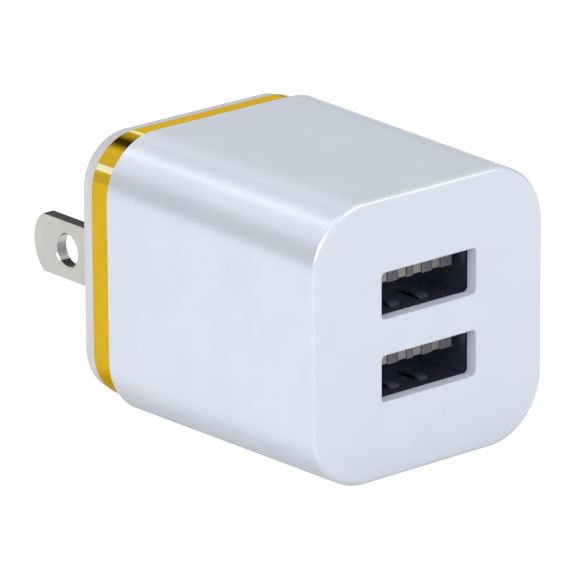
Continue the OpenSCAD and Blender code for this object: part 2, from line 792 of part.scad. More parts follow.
housing();
trim_ring();
rear_cap();
blade("left");  // blade_left
blade("right");  // blade_right
shell("upper");  // upper_shell
insulator("upper");  // upper_insulator
contacts("upper");  // upper_contacts
tails("upper");  // upper_tails
shell("lower");  // lower_shell
insulator("lower");  // lower_insulator
contacts("lower");  // lower_contacts
tails("lower");  // lower_tails
usb_board();
usb_board_solder();
charge_control_chip();
main_board();
main_board_solder();
board_joint_solder();
wire_jacket("left");  // wire_jacket_left
wire_jacket("right");  // wire_jacket_right
wire_cores();
blade_solder();
fusible_resistor();
bridge_rectifier();
controller_chip();
output_diode();
chip_resistors();
chip_capacitors();
cap_can(input_front);  // input_capacitor_front
cap_sleeve(input_front);  // input_sleeve_front
cap_can(input_rear);  // input_capacitor_rear
cap_sleeve(input_rear);  // input_sleeve_rear
cap_can(output_left);  // output_capacitor_left
cap_sleeve(output_left);  // output_sleeve_left
cap_can(output_right);  // output_capacitor_right
cap_sleeve(output_right);  // output_sleeve_right
capacitor_bungs();
capacitor_leads();
safety_capacitor();
safety_capacitor_leads();
core_half(1);  // core_upper
core_half(-1);  // core_lower
bobbin();
winding();
core_tape();
bobbin_pins();
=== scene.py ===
import math

import bmesh
import bpy
from mathutils import Matrix, Vector


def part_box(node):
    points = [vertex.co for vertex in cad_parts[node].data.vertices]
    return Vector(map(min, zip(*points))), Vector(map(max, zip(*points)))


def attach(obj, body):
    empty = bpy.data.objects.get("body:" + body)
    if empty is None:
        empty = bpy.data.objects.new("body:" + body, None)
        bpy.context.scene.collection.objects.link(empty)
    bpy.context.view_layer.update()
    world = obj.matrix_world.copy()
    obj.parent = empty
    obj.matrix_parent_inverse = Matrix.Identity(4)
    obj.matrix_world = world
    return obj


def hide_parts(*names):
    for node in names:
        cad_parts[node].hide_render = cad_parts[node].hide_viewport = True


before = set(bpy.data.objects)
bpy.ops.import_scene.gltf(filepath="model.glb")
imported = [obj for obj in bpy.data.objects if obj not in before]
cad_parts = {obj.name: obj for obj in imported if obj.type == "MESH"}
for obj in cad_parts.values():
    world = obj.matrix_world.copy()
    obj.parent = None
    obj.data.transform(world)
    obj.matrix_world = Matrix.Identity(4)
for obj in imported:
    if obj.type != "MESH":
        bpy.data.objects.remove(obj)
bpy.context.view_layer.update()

# Two-port USB wall charger. Metres; -Y is the face with the two sockets, +Y goes into the wall.

mm = 0.001
material = {}


def linear(red, green, blue):
    # screen colour, 0 to 255, as the shader's linear colour
    channels = [c / 255 for c in (red, green, blue)]
    return (*[c / 12.92 if c <= 0.04045 else ((c + 0.055) / 1.055) ** 2.4 for c in channels], 1)


# camera and studio

camera = {"azimuth": -40.28, "elevation": 18.56, "roll": -0.34, "distance": 640.4 * mm,
          "lens": 399.7, "sensor": 36, "near": 0.05, "far": 20, "target": (-4.78 * mm, -21.0 * mm, 3.67 * mm)}


def placeCamera():
    turn, rise = math.radians(camera["azimuth"]), math.radians(camera["elevation"])
    back = Vector((math.sin(turn) * math.cos(rise), -math.cos(turn) * math.cos(rise), math.sin(rise)))
    shot = bpy.data.objects.new("studioCamera", bpy.data.cameras.new("studioCamera"))
    shot.data.lens, shot.data.sensor_width = camera["lens"], camera["sensor"]
    shot.data.clip_start, shot.data.clip_end = camera["near"], camera["far"]
    shot.location = Vector(camera["target"]) + back * camera["distance"]
    facing = (-back).to_track_quat("-Z", "Y")
    shot.rotation_mode = "QUATERNION"
    tilt = Matrix.Rotation(math.radians(camera["roll"]), 4, "Z").to_quaternion()
    shot.rotation_quaternion = facing @ tilt
    bpy.context.scene.collection.objects.link(shot)
    bpy.context.scene.camera = shot


# the floor glows as painted bounce light on the charger and glows less under it, a painted shadow: floorTuck draws
# the outline in, floorFade is how far out the glow rises
studio = {"floorSize": 3.0, "floorPaintedGlow": (0.36, 0.66), "floorFade": (0.5 * mm, 7 * mm), "floorTuck": 2 * mm,
          "floorShine": 0.92, "floorShade": 0.35, "floorRough": 0.9, "anyHeight": 9,
          # sky brightness by angle round the charger's long axis: 0 is right, 90 overhead, 180 left
          "sky": [(0, 0.45), (15, 0.44), (30, 0.53), (45, 0.68), (60, 0.45), (72, 0.02), (86, 0.06), (96, 0.5),
                  (105, 0.9), (120, 0.8), (135, 0.82), (150, 0.38), (165, 0.27), (180, 0.33), (200, 0.3),
                  (345, 0.3), (359.9, 0.45)],
          "axisY": -15 * mm, "axisZ": 2.6 * mm}


def paintSky():
    sky = bpy.data.worlds.new("studioSky")
    bpy.context.scene.world = sky
    sky.use_nodes = True
    nodes, links = sky.node_tree.nodes, sky.node_tree.links
    nodes.clear()
    where = nodes.new("ShaderNodeTexCoord")
    split = nodes.new("ShaderNodeSeparateXYZ")
    links.new(where.outputs["Generated"], split.inputs[0])
    angle = nodes.new("ShaderNodeMath")
    angle.operation = "ARCTAN2"
    links.new(split.outputs["Z"], angle.inputs[0])
    links.new(split.outputs["X"], angle.inputs[1])
    turn = nodes.new("ShaderNodeMath")
    turn.operation = "DIVIDE"
    turn.inputs[1].default_value = 2 * math.pi
    links.new(angle.outputs[0], turn.inputs[0])
    wrap = nodes.new("ShaderNodeMath")
    wrap.operation = "FRACT"
    links.new(turn.outputs[0], wrap.inputs[0])
    bands = nodes.new("ShaderNodeValToRGB")
    bands.color_ramp.interpolation = "LINEAR"
    while len(bands.color_ramp.elements) > 1:
        bands.color_ramp.elements.remove(bands.color_ramp.elements[0])
    for step, (degrees, level) in enumerate(studio["sky"]):
        stop = bands.color_ramp.elements[0] if step == 0 else bands.color_ramp.elements.new(degrees / 360)
        stop.position = degrees / 360
        stop.color = (level, level, level, 1)
    links.new(wrap.outputs[0], bands.inputs[0])
    seen = nodes.new("ShaderNodeBackground")
    seen.inputs["Color"].default_value = (1, 1, 1, 1)
    lit = nodes.new("ShaderNodeBackground")
    links.new(bands.outputs["Color"], lit.inputs["Color"])
    path = nodes.new("ShaderNodeLightPath")
    pick = nodes.new("ShaderNodeMixShader")
    links.new(path.outputs["Is Camera Ray"], pick.inputs[0])
    links.new(lit.outputs[0], pick.inputs[1])
    links.new(seen.outputs[0], pick.inputs[2])
    out = nodes.new("ShaderNodeOutputWorld")
    links.new(pick.outputs[0], out.inputs["Surface"])


def layFloor():
    bm = bmesh.new()
    bmesh.ops.create_grid(bm, x_segments=1, y_segments=1, size=studio["floorSize"])
    bmesh.ops.translate(bm, vec=(0, 0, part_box("housing")[0].z), verts=bm.verts)
    mesh = bpy.data.meshes.new("studioFloor")
    bm.to_mesh(mesh)
    bm.free()
    floor = bpy.data.objects.new("studioFloor", mesh)
    bpy.context.scene.collection.objects.link(floor)
    paper = bpy.data.materials.new("paleFloor")
    paper.use_nodes = True
    nodes, links = paper.node_tree.nodes, paper.node_tree.links
    matt = nodes["Principled BSDF"]  # what the floor throws back at the charger, glowing with painted bounce light
    bright = nodes.new("ShaderNodeBsdfPrincipled")  # how it shows
    for shader in (matt, bright):
        shader.inputs["Base Color"].default_value = (studio["floorShade"],) * 3 + (1,)
        shader.inputs["Roughness"].default_value = studio["floorRough"]
        shader.inputs["Specular IOR Level"].default_value = 0
        shader.inputs["Emission Color"].default_value = (1, 1, 1, 1)
    bright.inputs["Emission Strength"].default_value = studio["floorShine"]
    where = nodes.new("ShaderNodeTexCoord")
    # how far a spot on the floor lies outside the housing's outline
    low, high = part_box("housing")
    middle = ((low.x + high.x) / 2, low.y / 2, 0)
    halfSize = ((high.x - low.x) / 2 - studio["floorTuck"], -low.y / 2, studio["anyHeight"])
    steps = (("SUBTRACT", middle), ("ABSOLUTE", None), ("SUBTRACT", halfSize), ("MAXIMUM", (0, 0, 0)),
             ("LENGTH", None))
    reach = where.outputs["Object"]
    for operation, amount in steps:
        away = nodes.new("ShaderNodeVectorMath")
        away.operation = operation
        links.new(reach, away.inputs[0])
        if amount:
            away.inputs[1].default_value = amount
        reach = away.outputs[0] if operation != "LENGTH" else away.outputs["Value"]
    # the glow falls off near the charger's outline: a painted contact shadow under it
    fade = nodes.new("ShaderNodeMapRange")
    fade.interpolation_type = "SMOOTHSTEP"
    fade.inputs["From Min"].default_value, fade.inputs["From Max"].default_value = studio["floorFade"]
    fade.inputs["To Min"].default_value, fade.inputs["To Max"].default_value = studio["floorPaintedGlow"]
    links.new(reach, fade.inputs["Value"])
    links.new(fade.outputs["Result"], matt.inputs["Emission Strength"])
    path = nodes.new("ShaderNodeLightPath")
    pick = nodes.new("ShaderNodeMixShader")
    links.new(path.outputs["Is Camera Ray"], pick.inputs[0])
    links.new(matt.outputs[0], pick.inputs[1])
    links.new(bright.outputs[0], pick.inputs[2])
    links.new(pick.outputs[0], nodes["Material Output"].inputs["Surface"])
    mesh.materials.append(paper)


# lamps hang round the charger's long axis, at "angle" as in the sky and "far" from it; "width" runs round the axis,
# "length" and "along" run along it, in millimetres; "lights" keeps a lamp to one piece
pale, palest = (0.03, 0.06, 1.0), (0.015, 0.04, 1.0)  # gold throws these back as cream and as white
lamps = {
    "leftSoftbox": {"angle": 150, "width": 260, "length": 420, "far": 480, "along": -260, "power": 0.87},
    "frontFill": {"angle": 60, "width": 300, "length": 300, "far": 420, "along": -420, "power": 0.88},
    "edgeStrip": {"angle": 105, "width": 80, "length": 900, "far": 320, "along": 250, "power": 0.14,
                  "lights": "housing"},
    "crownFill": {"angle": 78, "width": 190, "length": 900, "far": 320, "along": 250, "power": 0.28,
                  "lights": "housing"},
    "ringFillTop": {"angle": 24, "width": 140, "length": 700, "far": 320, "along": 300, "power": 0.09,
                    "lights": "ring"},
    "ringStripTop": {"angle": 40, "width": 55, "length": 700, "far": 320, "along": 300, "power": 3.6,
                     "lights": "ring", "tint": palest},
    "ringStripLeft": {"angle": 147, "width": 70, "length": 700, "far": 320, "along": 300, "power": 3.0,
                      "lights": "ring", "tint": pale},
    "ringFillLeft": {"angle": 165, "width": 180, "length": 700, "far": 330, "along": 300, "power": 0.165,
                     "lights": "ring"},
}
lampGroup = {}


def hangLamps():
    for name, lamp in lamps.items():
        data = bpy.data.lights.new(name, "AREA")
        data.shape = "RECTANGLE"
        data.size, data.size_y = lamp["width"] * mm, lamp["length"] * mm
        data.energy = lamp["power"]
        data.color = lamp.get("tint", (1, 1, 1))
        box = bpy.data.objects.new(name, data)
        angle = math.radians(lamp["angle"])
        spot = Vector((math.cos(angle), 0, math.sin(angle))) * lamp["far"] * mm
        spot += Vector((0, lamp["along"] * mm, studio["axisZ"]))
        aim = Vector((0, lamp["along"] * mm if "lights" in lamp else studio["axisY"], studio["axisZ"]))
        box.location = spot
        box.rotation_mode = "QUATERNION"
        box.rotation_quaternion = (aim - spot).to_track_quat("-Z", "X")
        bpy.context.scene.collection.objects.link(box)
        if "lights" in lamp:
            group = lampGroup.setdefault(lamp["lights"], bpy.data.collections.new(lamp["lights"] + "Lamps"))
            box.light_linking.receiver_collection = group


placeCamera()
paintSky()
layFloor()
hangLamps()
bpy.context.scene.view_settings.view_transform = "Standard"
bpy.context.scene.view_settings.look = "None"
print("camera, sky, floor and lamps are in place")


# finishes

def newFinish(name):
    made = bpy.data.materials.new(name)
    made.use_nodes = True
    material[name] = made
    tree = made.node_tree
    shader = tree.nodes["Principled BSDF"]
    where = tree.nodes.new("ShaderNodeTexCoord")
    return tree, shader, where.outputs["Object"]


def stretched(tree, where, stretch):
    mapped = tree.nodes.new("ShaderNodeMapping")
    mapped.inputs["Scale"].default_value = stretch
    tree.links.new(where, mapped.inputs["Vector"])
    return mapped.outputs["Vector"]


cloudDetail, grainDetail = 3.0, 6.0


def speckle(tree, where, scale, detail=cloudDetail):
    grain = tree.nodes.new("ShaderNodeTexNoise")
    grain.inputs["Scale"].default_value = scale
    grain.inputs["Detail"].default_value = detail
    tree.links.new(where, grain.inputs["Vector"])
    return grain.outputs["Fac"]


def blendColours(tree, amount, first, second, low=0.35, high=0.65):
    ramp = tree.nodes.new("ShaderNodeValToRGB")
    ramp.color_ramp.elements[0].position, ramp.color_ramp.elements[1].position = low, high
    ramp.color_ramp.elements[0].color, ramp.color_ramp.elements[1].color = first, second
    tree.links.new(amount, ramp.inputs[0])
    return ramp.outputs["Color"]


def between(tree, amount, low, high):
    span = tree.nodes.new("ShaderNodeMapRange")
    span.inputs["To Min"].default_value, span.inputs["To Max"].default_value = low, high
    tree.links.new(amount, span.inputs["Value"])
    return span.outputs["Result"]


def dent(tree, shader, height, depth, strength=1.0):
    bump = tree.nodes.new("ShaderNodeBump")
    bump.inputs["Distance"].default_value = depth
    bump.inputs["Strength"].default_value = strength
    tree.links.new(height, bump.inputs["Height"])
    tree.links.new(bump.outputs["Normal"], shader.inputs["Normal"])


# name: two tints that cloud into each other, how metallic, roughness range, clouds and grains per metre, and the
# grain's depth in metres; "stretch" draws the grain out along an axis, "rim" tints what shows at a grazing angle
finishes = {
    "housingPaint": {"tints": (linear(225, 233, 246), linear(229, 237, 249)), "metal": 0.45, "rough": (0.27, 0.31),
                     "cloud": 160, "grain": 5200, "depth": 0.0000012, "coat": 0.15, "coatRough": 0.12},
    "frontFinish": {"tints": (linear(214, 221, 233), linear(216, 223, 235)), "metal": 0.0, "rough": (0.42, 0.5),
                    "cloud": 190, "grain": 9000, "depth": 0.000004},
    "goldPlating": {"tints": (linear(226, 184, 44), linear(229, 188, 49)), "metal": 1.0, "rough": (0.1, 0.13),
                    "cloud": 240, "grain": 2600, "depth": 0.0000006, "rim": linear(255, 232, 175)},
    "capPlastic": {"tints": (linear(219, 220, 224), linear(223, 224, 228)), "metal": 0.0, "rough": (0.34, 0.42),
                   "cloud": 200, "grain": 7000, "depth": 0.000003},
    "nickelPlate": {"tints": (linear(206, 205, 202), linear(214, 213, 210)), "metal": 1.0, "rough": (0.2, 0.3),
                    "cloud": 350, "grain": 900, "depth": 0.000002, "stretch": (1, 0.08, 1)},
    # painted shade: the darker metal on the blades' top and bottom edges stands in for the dark reflection along
    # them
    "paintedEdgeShade": {"tints": (linear(74, 74, 76), linear(92, 92, 94)), "metal": 1.0, "rough": (0.4, 0.55),
                    "cloud": 600, "grain": 2000, "depth": 0.000006, "stretch": (1, 0.2, 1)},
    "shellSteel": {"tints": (linear(158, 164, 190), linear(168, 174, 200)), "metal": 1.0, "rough": (0.34, 0.44),
                   "cloud": 500, "grain": 4000, "depth": 0.000003, "stretch": (1, 0.1, 1)},
    "insulatorPlastic": {"tints": (linear(106, 107, 113), linear(118, 119, 125)), "metal": 0.0, "rough": (0.5, 0.6),
                         "cloud": 700, "grain": 8000, "depth": 0.000006},
    # the gold contacts are dulled to grey: painted shade for the inside of the sockets
    "shadedContactGold": {"tints": (linear(131, 130, 126), linear(141, 140, 136)), "metal": 1.0, "rough": (0.26, 0.36),
                    "cloud": 900, "grain": 6000, "depth": 0.000001},
    "solderMetal": {"tints": (linear(196, 198, 200), linear(212, 213, 214)), "metal": 1.0, "rough": (0.18, 0.36),
                    "cloud": 1200, "grain": 2600, "depth": 0.00002},
    "chipPlastic": {"tints": (linear(30, 30, 32), linear(38, 38, 40)), "metal": 0.0, "rough": (0.55, 0.7),
                    "cloud": 900, "grain": 12000, "depth": 0.000006},
    "chipCeramic": {"tints": (linear(176, 146, 104), linear(188, 160, 118)), "metal": 0.0, "rough": (0.4, 0.55),
                    "cloud": 1500, "grain": 9000, "depth": 0.000004},
    "wireInsulation": {"tints": (linear(158, 28, 24), linear(170, 34, 28)), "metal": 0.0, "rough": (0.4, 0.5),
                       "cloud": 600, "grain": 3000, "depth": 0.000005},
    "copperStrand": {"tints": (linear(196, 128, 84), linear(212, 146, 100)), "metal": 1.0, "rough": (0.25, 0.4),
                     "cloud": 1200, "grain": 5000, "depth": 0.000006, "stretch": (1, 1, 0.1)},
    "resistorCoating": {"tints": (linear(146, 172, 152), linear(156, 180, 160)), "metal": 0.0, "rough": (0.6, 0.75),
                        "cloud": 700, "grain": 5000, "depth": 0.00002},
    "canAluminium": {"tints": (linear(206, 207, 210), linear(220, 221, 223)), "metal": 1.0, "rough": (0.22, 0.34),
                     "cloud": 500, "grain": 3000, "depth": 0.000003, "stretch": (1, 1, 0.1)},
    "sleeveFilm": {"tints": (linear(34, 42, 78), linear(38, 47, 86)), "metal": 0.0, "rough": (0.18, 0.28),
                   "cloud": 300, "grain": 1500, "depth": 0.00001, "coat": 0.3, "coatRough": 0.1},
    "bungRubber": {"tints": (linear(32, 31, 30), linear(40, 39, 38)), "metal": 0.0, "rough": (0.7, 0.85),
                   "cloud": 900, "grain": 6000, "depth": 0.00001},
    "tinnedWire": {"tints": (linear(202, 203, 206), linear(216, 217, 219)), "metal": 1.0, "rough": (0.2, 0.32),
                   "cloud": 1200, "grain": 3500, "depth": 0.000004, "stretch": (1, 1, 0.15)},
    "discCoating": {"tints": (linear(44, 108, 188), linear(50, 116, 198)), "metal": 0.0, "rough": (0.3, 0.42),
                    "cloud": 500, "grain": 2200, "depth": 0.00002},
    "ferriteCore": {"tints": (linear(66, 66, 70), linear(80, 80, 84)), "metal": 0.0, "rough": (0.5, 0.68),
                    "cloud": 1300, "grain": 7000, "depth": 0.00001},
    "bobbinPlastic": {"tints": (linear(46, 46, 47), linear(54, 54, 55)), "metal": 0.0, "rough": (0.45, 0.6),
                      "cloud": 900, "grain": 8000, "depth": 0.000006},
    "polyesterTape": {"tints": (linear(234, 204, 66), linear(240, 212, 76)), "metal": 0.0, "rough": (0.16, 0.3),
                      "cloud": 400, "grain": 1800, "depth": 0.000008, "coat": 0.4, "coatRough": 0.08},
}


def mixFinish(name, look):
    tree, shader, where = newFinish(name)
    along = stretched(tree, where, look.get("stretch", (1, 1, 1)))
    clouds = speckle(tree, where, look["cloud"])
    grain = speckle(tree, along, look["grain"], grainDetail)
    tree.links.new(blendColours(tree, clouds, *look["tints"]), shader.inputs["Base Color"])
    tree.links.new(between(tree, grain, *look["rough"]), shader.inputs["Roughness"])
    shader.inputs["Metallic"].default_value = look["metal"]
    if "coat" in look:
        shader.inputs["Coat Weight"].default_value = look["coat"]
        shader.inputs["Coat Roughness"].default_value = look["coatRough"]
    if "rim" in look:
        shader.inputs["Specular Tint"].default_value = look["rim"]
    dent(tree, shader, grain, look["depth"])


laminate = {"weave": 130, "wobble": 0.4, "resin": linear(20, 92, 50), "thread": linear(30, 108, 62),
            "blend": (0.1, 0.9), "grain": 900, "rough": (0.2, 0.34), "depth": 0.000006}
# the darker tint between the winding's turns is painted shade in the grooves
winding = {"wires": 260, "wobble": 0.2, "crest": linear(206, 120, 56), "groove": linear(110, 52, 22),
           "blend": (0.05, 0.6), "grain": 1500, "rough": (0.2, 0.34), "metal": 0.8, "depth": 0.00006}


def mixLaminate():
    tree, shader, where = newFinish("boardLaminate")
    heights = []
    for direction in ("X", "Z"):
        weave = tree.nodes.new("ShaderNodeTexWave")
        weave.bands_direction = direction
        weave.inputs["Scale"].default_value = laminate["weave"]
        weave.inputs["Distortion"].default_value = laminate["wobble"]
        tree.links.new(where, weave.inputs["Vector"])
        heights.append(weave.outputs["Fac"])
    cross = tree.nodes.new("ShaderNodeMath")
    cross.operation = "MULTIPLY"
    tree.links.new(heights[0], cross.inputs[0])
    tree.links.new(heights[1], cross.inputs[1])
    cloth = blendColours(tree, cross.outputs[0], laminate["resin"], laminate["thread"], *laminate["blend"])
    tree.links.new(cloth, shader.inputs["Base Color"])
    grain = speckle(tree, where, laminate["grain"])
    tree.links.new(between(tree, grain, *laminate["rough"]), shader.inputs["Roughness"])
    dent(tree, shader, cross.outputs[0], laminate["depth"])


def mixWinding():
    tree, shader, where = newFinish("enamelledCopper")
    turns = tree.nodes.new("ShaderNodeTexWave")
    turns.bands_direction = "Z"
    turns.wave_profile = "SIN"
    turns.inputs["Scale"].default_value = winding["wires"]
    turns.inputs["Distortion"].default_value = winding["wobble"]
    tree.links.new(where, turns.inputs["Vector"])
    # the winding darkens towards the grooves between turns: painted shade
    copper = blendColours(tree, turns.outputs["Fac"], winding["groove"], winding["crest"], *winding["blend"])
    tree.links.new(copper, shader.inputs["Base Color"])
    grain = speckle(tree, where, winding["grain"])
    tree.links.new(between(tree, grain, *winding["rough"]), shader.inputs["Roughness"])
    shader.inputs["Metallic"].default_value = winding["metal"]
    dent(tree, shader, turns.outputs["Fac"], winding["depth"])


for name, look in finishes.items():
    mixFinish(name, look)
mixLaminate()
mixWinding()
print("finishes:", len(material))


# shaping helpers

cornerSteps = 20
weldGap = 0.0000005  # corners closer than this become one


def outline(bm, width, height, radius, y, rise, x=0.0, segments=cornerSteps):
    # a rounded rectangle of edges that faces along Y
    old = set(bm.edges)
    place = Matrix.Translation((x, y, rise)) @ Matrix.Rotation(math.pi / 2, 4, "X") @ \
        Matrix.Diagonal((width, height, 1, 1))
    sheet = bmesh.ops.create_grid(bm, x_segments=1, y_segments=1, size=0.5, matrix=place)
    face = sheet["verts"][0].link_faces[0]
    if radius > 0:
        bmesh.ops.bevel(bm, geom=sheet["verts"], offset=radius, offset_type="OFFSET", segments=segments,
                        profile=0.5, affect="VERTICES", material=-1)
        face = next(f for f in bm.faces if all(e not in old for e in f.edges) and len(f.verts) > 4)
    edges = list(face.edges)
    bmesh.ops.delete(bm, geom=[face], context="FACES_ONLY")
    return edges


def bridge(bm, *loops):
    for first, second in zip(loops, loops[1:]):
        bmesh.ops.bridge_loops(bm, edges=first + second)


def fill(bm, *loops, normal):
    edges = [e for loop in loops for e in loop]
    bmesh.ops.triangle_fill(bm, use_beauty=True, use_dissolve=False, edges=edges, normal=normal)


def soften(bm, edges, size, steps):
    bmesh.ops.bevel(bm, geom=edges, offset=size, offset_type="OFFSET", segments=steps, profile=0.5, affect="EDGES",
                    clamp_overlap=True, material=-1)


def finishPiece(name, bm, coats, body, replaced, sharp):
    bmesh.ops.remove_doubles(bm, verts=bm.verts, dist=weldGap)
    bmesh.ops.recalc_face_normals(bm, faces=bm.faces)
    mesh = bpy.data.meshes.new(name)
    bm.to_mesh(mesh)
    bm.free()
    for coat in coats:
        mesh.materials.append(material[coat])
    mesh.shade_smooth()
    mesh.set_sharp_from_angle(angle=math.radians(sharp))
    piece = bpy.data.objects.new(name, mesh)
    bpy.context.scene.collection.objects.link(piece)
    even = piece.modifiers.new("evenNormals", "WEIGHTED_NORMAL")
    even.keep_sharp = True
    even.weight = 100
    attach(piece, body)
    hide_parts(*replaced)
    print(name, len(mesh.vertices), "vertices")
    return piece


# housing: the leaning shell with two sockets' openings

housing = {"corner": 6.4 * mm, "frontCorner": 6.8 * mm, "draft": 0.25 * mm, "frontRound": 0.55 * mm,
           "rearEase": 0.2 * mm, "wall": 1.7 * mm, "frontWall": 1.4 * mm,
           "frontSteps": 6, "rearSteps": 2, "mouthWidth": 12.45 * mm, "mouthHeight": 4.85 * mm,
           "mouthCorner": 0.5 * mm, "mouthEase": 0.12 * mm, "mouthSteps": 8, "mouths": (7.05 * mm, -1.55 * mm),
           "facing": 0.9, "skim": 0.1 * mm, "sharp": 40}


def makeHousing():
    low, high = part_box("housing")
    width, height, middle = high.x - low.x, high.z - low.z, (high.z + low.z) / 2
    draft, inside = housing["draft"], low.y + housing["frontWall"]
    bm = bmesh.new()
    rear = outline(bm, width, height, housing["corner"], high.y, middle)
    front = outline(bm, width - 2 * draft, height - 2 * draft, housing["frontCorner"], low.y, middle)
    bridge(bm, rear, front)
    face = bmesh.ops.contextual_create(bm, geom=front)["faces"][0]
    tail = bmesh.ops.contextual_create(bm, geom=rear)["faces"][0]
    soften(bm, list(face.edges), housing["frontRound"], housing["frontSteps"])
    soften(bm, list(tail.edges), housing["rearEase"], housing["rearSteps"])
    face = min(bm.faces, key=lambda f: (f.calc_center_median().y, -f.calc_area()))
    tail = max(bm.faces, key=lambda f: (f.calc_center_median().y, f.calc_area()))
    frontRim, rearRim = list(face.edges), list(tail.edges)
    bmesh.ops.delete(bm, geom=[face, tail], context="FACES_ONLY")
    wall = housing["wall"]
    room = (width - 2 * wall, height - 2 * wall, housing["corner"] - wall)
    innerRear = outline(bm, *room, high.y, middle)
    innerFront = outline(bm, *room, inside, middle)
    fill(bm, rearRim, innerRear, normal=(0, 1, 0))
    bridge(bm, innerRear, innerFront)
    outer, inner = [], []
    wide, tall, bend, ease = (housing[key] for key in ("mouthWidth", "mouthHeight", "mouthCorner", "mouthEase"))
    for rise in housing["mouths"]:
        steps = housing["mouthSteps"]
        lip = outline(bm, wide + 2 * ease, tall + 2 * ease, bend + ease, low.y, rise, segments=steps)
        throat = outline(bm, wide, tall, bend, low.y + ease, rise, segments=steps)
        end = outline(bm, wide, tall, bend, inside, rise, segments=steps)
        bridge(bm, lip, throat, end)
        outer += lip
        inner += end
    fill(bm, frontRim, outer, normal=(0, -1, 0))
    fill(bm, innerFront, inner, normal=(0, 1, 0))
    bmesh.ops.recalc_face_normals(bm, faces=bm.faces)
    # the front face and the sockets' mouths are moulded matt, the rest is painted
    for f in bm.faces:
        spot = f.calc_center_median()
        inFront = f.normal.y < -housing["facing"] and spot.y < low.y + housing["skim"]
        inMouth = spot.y < inside and any(
            abs(spot.x) < wide / 2 + 2 * ease and abs(spot.z - rise) < tall / 2 + 2 * ease
            for rise in housing["mouths"])
        f.material_index = 1 if inFront or inMouth else 0
    return finishPiece("housingShell", bm, ["housingPaint", "frontFinish"], "charger", ["housing"],
                       housing["sharp"])


housingShell = makeHousing()

# trim ring: a mirror-bright band with slightly eased edges

ring = {"corner": 5.7 * mm, "edge": 0.16 * mm, "edgeSteps": 4, "boreWidth": 27.2 * mm, "boreHeight": 26.2 * mm,
        "boreCorner": 4.6 * mm, "cornerSteps": 32, "sharp": 50}


def makeRing():
    low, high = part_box("trim_ring")
    middle, steps = (high.z + low.z) / 2, ring["cornerSteps"]
    skin = (high.x - low.x, high.z - low.z, ring["corner"])
    bore = (ring["boreWidth"], ring["boreHeight"], ring["boreCorner"])
    bm = bmesh.new()
    front = outline(bm, *skin, low.y, middle, segments=steps)
    rear = outline(bm, *skin, high.y, middle, segments=steps)
    boreRear = outline(bm, *bore, high.y, middle, segments=steps)
    boreFront = outline(bm, *bore, low.y, middle, segments=steps)
    bridge(bm, front, rear, boreRear, boreFront, front)
    soften(bm, front + rear, ring["edge"], ring["edgeSteps"])
    return finishPiece("goldRing", bm, ["goldPlating"], "charger", ["trim_ring"], ring["sharp"])


goldRing = makeRing()

# rear cap: a plate with a rounded edge, the slots of the blades and a spigot inside the housing

cap = {"corner": 5.5 * mm, "edge": 0.9 * mm, "edgeSteps": 8, "plate": 2 * mm, "spigotWidth": 27.2 * mm,
       "spigotHeight": 26.2 * mm, "spigotCorner": 4.6 * mm, "spigotWall": 1.2 * mm, "slotEase": 0.15 * mm,
       "slotCorner": 0.15 * mm, "slotSteps": 4, "blades": ("blade_left", "blade_right"), "sharp": 40}


def makeCap():
    low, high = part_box("rear_cap")
    middle, plate = (high.z + low.z) / 2, high.y - cap["plate"]
    skin = (high.x - low.x, high.z - low.z, cap["corner"])
    bm = bmesh.new()
    front = outline(bm, *skin, plate, middle)
    rear = outline(bm, *skin, high.y, middle)
    bridge(bm, front, rear)
    tail = bmesh.ops.contextual_create(bm, geom=rear)["faces"][0]
    soften(bm, list(tail.edges), cap["edge"], cap["edgeSteps"])
    tail = max(bm.faces, key=lambda f: (f.calc_center_median().y, f.calc_area()))
    rim = list(tail.edges)
    bmesh.ops.delete(bm, geom=[tail], context="FACES_ONLY")
    wall = cap["spigotWall"]
    spigot = (cap["spigotWidth"], cap["spigotHeight"], cap["spigotCorner"])
    hollow = (spigot[0] - 2 * wall, spigot[1] - 2 * wall, spigot[2] - wall)
    spigotRear = outline(bm, *spigot, plate, middle)
    spigotFront = outline(bm, *spigot, low.y, middle)
    hollowFront = outline(bm, *hollow, low.y, middle)
    hollowRear = outline(bm, *hollow, plate, middle)
    bridge(bm, front, spigotRear, spigotFront, hollowFront, hollowRear)
    outer, inner = [], []
    ease, bend, steps = cap["slotEase"], cap["slotCorner"], cap["slotSteps"]
    for name in cap["blades"]:
        first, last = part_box(name)
        wide, tall = last.x - first.x, last.z - first.z
        spot, rise = (first.x + last.x) / 2, (first.z + last.z) / 2
        lip = outline(bm, wide + 2 * ease, tall + 2 * ease, bend + ease, high.y, rise, spot, steps)
        throat = outline(bm, wide, tall, bend, high.y - ease, rise, spot, steps)
        end = outline(bm, wide, tall, bend, plate, rise, spot, steps)
        bridge(bm, lip, throat, end)
        outer += lip
        inner += end
    fill(bm, rim, outer, normal=(0, 1, 0))
    fill(bm, hollowRear, inner, normal=(0, -1, 0))
    return finishPiece("rearCap", bm, ["capPlastic"], "charger", ["rear_cap"], cap["sharp"])


makeCap()

# blades: flat with a coined round tip, a hole and eased edges

blade = {"bulge": 2.1 * mm, "tip": 0.7 * mm, "hole": 1.75 * mm, "holeAlong": 11.8 * mm, "holeEase": 0.15 * mm,
         "collar": 0.15 * mm, "edge": 0.11 * mm, "edgeSteps": 3, "edgeBend": 0.9, "plate": 2 * mm, "tipSteps": 160,
         "holeSteps": 64, "slack": 0.05 * mm, "hair": 0.001 * mm, "cutGap": 0.0001 * mm, "facing": 0.8, "sharp": 20}


def nearHole(edge):
    centre = Vector((blade["holeAlong"], 0))
    reach = blade["hole"] + blade["holeEase"] + blade["collar"] + blade["slack"]
    return all((v.co.yz - centre).length < reach for v in edge.verts)


def ringOfEdges(bm, radius, place):
    old = set(bm.edges)
    bmesh.ops.create_circle(bm, cap_ends=False, segments=blade["holeSteps"], radius=radius, matrix=place)
    return [e for e in bm.edges if e not in old]


